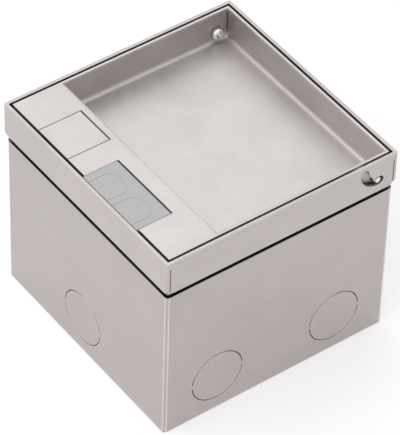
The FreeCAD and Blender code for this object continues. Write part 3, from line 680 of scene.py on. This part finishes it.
def shank_and_thread(rule):
    """The core and the ridge round it, both below zero; depth is a share of the pitch."""
    given = rule.given
    depth = rule.times("Pitch", thread_depth)
    core_radius = rule.maths("SUBTRACT", given["Shank Radius"], depth)
    rod = rule.geo("MeshCylinder", Vertices=core_sides, Radius=core_radius, Depth=given["Length"])
    core = rule.lifted(rod.outputs["Mesh"], rule.times("Length", -0.5))
    wound = rule.maths("SUBTRACT", given["Length"], rule.times("Pitch", turns_left_plain))
    spiral = rule.geo("CurveSpiral", Resolution=steps_in_a_turn,
                      Rotations=rule.maths("DIVIDE", wound, given["Pitch"]),
                      Start_Radius=core_radius, End_Radius=core_radius, Height=wound,
                      Reverse=True)
    path = rule.lifted(spiral.outputs[0], rule.maths("ADD", rule.times("Length", -1.0), depth))
    upright = rule.geo("SetCurveNormal", {"mode": "Z_UP"}, Curve=path)
    diamond = rule.geo("CurvePrimitiveCircle", Resolution=4, Radius=depth)
    ridge = rule.geo("CurveToMesh", Curve=upright.outputs[0], Profile_Curve=diamond.outputs[0],
                     Fill_Caps=True)
    return [core, ridge.outputs[0]]


# %% [markdown]
# One screw is joined from these and set on every point. Each point says which way its head looks.
# Instances would be lost in the export, so they are made real, and take their finish last.

# %% A screw on every point
def end_tree(rule, pieces):
    """Joins the pieces of a screw, sets it on the given points and ends the tree."""
    screw = rule.geo("JoinGeometry", Geometry=pieces)
    way = rule.geo("InputNamedAttribute", {"data_type": "FLOAT_VECTOR"}, Name="way").outputs[0]
    turned = add_node(rule.tree, "FunctionNodeAlignRotationToVector", {"axis": "Z"}, Vector=way)
    placed = rule.geo("InstanceOnPoints", Points=rule.given["Points"], Instance=screw.outputs[0],
                      Rotation=turned.outputs[0])
    real = rule.geo("RealizeInstances", Geometry=placed.outputs[0])
    dressed = rule.geo("SetMaterial", Geometry=real.outputs[0], Material=rule.given["Finish"])
    add_node(rule.tree, "NodeGroupOutput", Screws=dressed.outputs[0])


end_tree(screw_rule, [with_recess(screw_rule, screw_head(screw_rule)),
                      *shank_and_thread(screw_rule)])
print("screw tree:", len(screw_rule.tree.nodes), "nodes")

# %% [markdown]
# ## Where each screw sits
# The CAD already has a plain solid for every screw, so its place, head radius and length are read
# from there. A CAD mesh is a loose pile of triangles. A copy is merged, and the vertices that
# hang together are gathered, which gives one box for each screw.

# %% Find the solids of a node
merge_distance = 1e-6


def solids_of(node_name):
    """Lowest and highest corner of every separate solid in a CAD node."""
    work = bmesh.new()
    work.from_mesh(nodes[node_name].data)
    bmesh.ops.remove_doubles(work, verts=work.verts, dist=merge_distance)
    left = set(work.verts)
    boxes = []
    while left:
        reached = [left.pop()]
        for vert in reached:
            near = {v for edge in vert.link_edges for v in edge.verts} & left
            left -= near
            reached.extend(near)
        boxes.append((Vector([min(v.co[k] for v in reached) for k in range(3)]),
                      Vector([max(v.co[k] for v in reached) for k in range(3)])))
    work.free()
    return sorted(boxes, key=lambda box: tuple(box[0]))


def head_way(heads, middle):
    """The way a head looks: up, down, or inward, which is along X to the middle of the box."""
    if heads == "inward":
        return Vector((-1, 0, 0)) if middle.x > 0 else Vector((1, 0, 0))
    return Vector((0, 0, 1 if heads == "up" else -1))


print("hinge screws found:", len(solids_of("hinge_screws")))

# %% [markdown]
# The tree runs as a modifier on a small mesh that has one point for each screw. Its result is
# copied to a plain mesh, the modifier goes, and the new piece rides the body that carries the
# CAD node, which it replaces.

# %% Run the tree
def grown(name, seats, ways, sizes):
    """A plain mesh with a screw on every seat, made by the tree from the given sizes."""
    points = bpy.data.meshes.new(name + "_places")
    points.from_pydata(seats, [], [])
    points.attributes.new("way", "FLOAT_VECTOR", "POINT").data.foreach_set(
        "vector", [part for way in ways for part in way])
    maker = into_scene(name + "_maker", points)
    modifier = maker.modifiers.new("screws", "NODES")
    modifier.node_group = screw_rule.tree
    for socket in screw_rule.tree.interface.items_tree:
        if socket.name in sizes:
            modifier[socket.identifier] = sizes[socket.name]
    bpy.context.view_layer.update()
    evaluated = maker.evaluated_get(bpy.context.evaluated_depsgraph_get())
    mesh = bpy.data.meshes.new_from_object(evaluated)
    bpy.data.objects.remove(maker)
    return mesh


# %% [markdown]
# Only what a box can't tell is given as a number for each kind of screw: the head's height, the
# shank's radius, the pitch, and the recess. The screws of one node are alike, so the last one's
# width and length hold for all of them.

# %% Replace a node's screws
pan_head = {"Seat Share": 1.0, "Crown Share": 0.68, "Bulge": 3.0}


def threaded(node_name, body, heads, finish, head, shank, pitch, countersunk=False, recess=0.65,
             turn=0.0):
    """Replaces a CAD node's plain screws by threaded ones; recess is a share of the head's height.

    heads is the way they look: up, down or inward. turn turns the recess, in degrees."""
    seats, ways = [], []
    for low, high in solids_of(node_name):
        middle, half = (low + high) / 2, (high - low) / 2
        way = head_way(heads, middle)
        along = abs(half.dot(way))
        seats.append(middle + way * (along - head))
        ways.append(way)
    head_radius = max(size for size, part in zip(half, way) if part == 0)
    flat_head = {"Seat Share": shank / head_radius, "Crown Share": 1.0, "Bulge": 1.0}
    sizes = {"Head Radius": head_radius, "Head Height": head, "Recess Depth": head * recess,
             "Recess Turn": math.radians(turn), "Shank Radius": shank, "Pitch": pitch,
             "Length": 2 * along - head, "Finish": finish,
             **(flat_head if countersunk else pan_head)}
    piece = into_scene(node_name + "_threaded", grown(node_name, seats, ways, sizes))
    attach(piece, body)
    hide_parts(node_name)
    print(f"{piece.name}: {len(seats)} screws, {len(piece.data.polygons)} faces")


# %% All the screws
for corner in ("front_left", "front_right", "back_left", "back_right"):
    threaded("levelling_screw_" + corner, "levelling_" + corner, "up", plated_steel,
             head=0.0018, shank=0.0025, pitch=0.0008, countersunk=True)
threaded("carrier_screws", "frame", "inward", plated_steel,
         head=0.0022, shank=0.00195, pitch=0.0007)
threaded("hinge_screws", "lid", "inward", bright_plate,
         head=0.0023, shank=0.00195, pitch=0.0007, recess=0.75, turn=40)
threaded("clamp_screws", "frame", "up", plated_steel,
         head=0.0018, shank=0.0015, pitch=0.0005)
for side in ("left", "right"):
    threaded("terminal_screws_" + side, "frame", "down", plated_steel,
             head=0.0016, shank=0.0016, pitch=0.0006)
threaded("earth_stud", "casing", "down", plated_steel,
         head=0.0010, shank=0.0030, pitch=0.0010, recess=0.05)
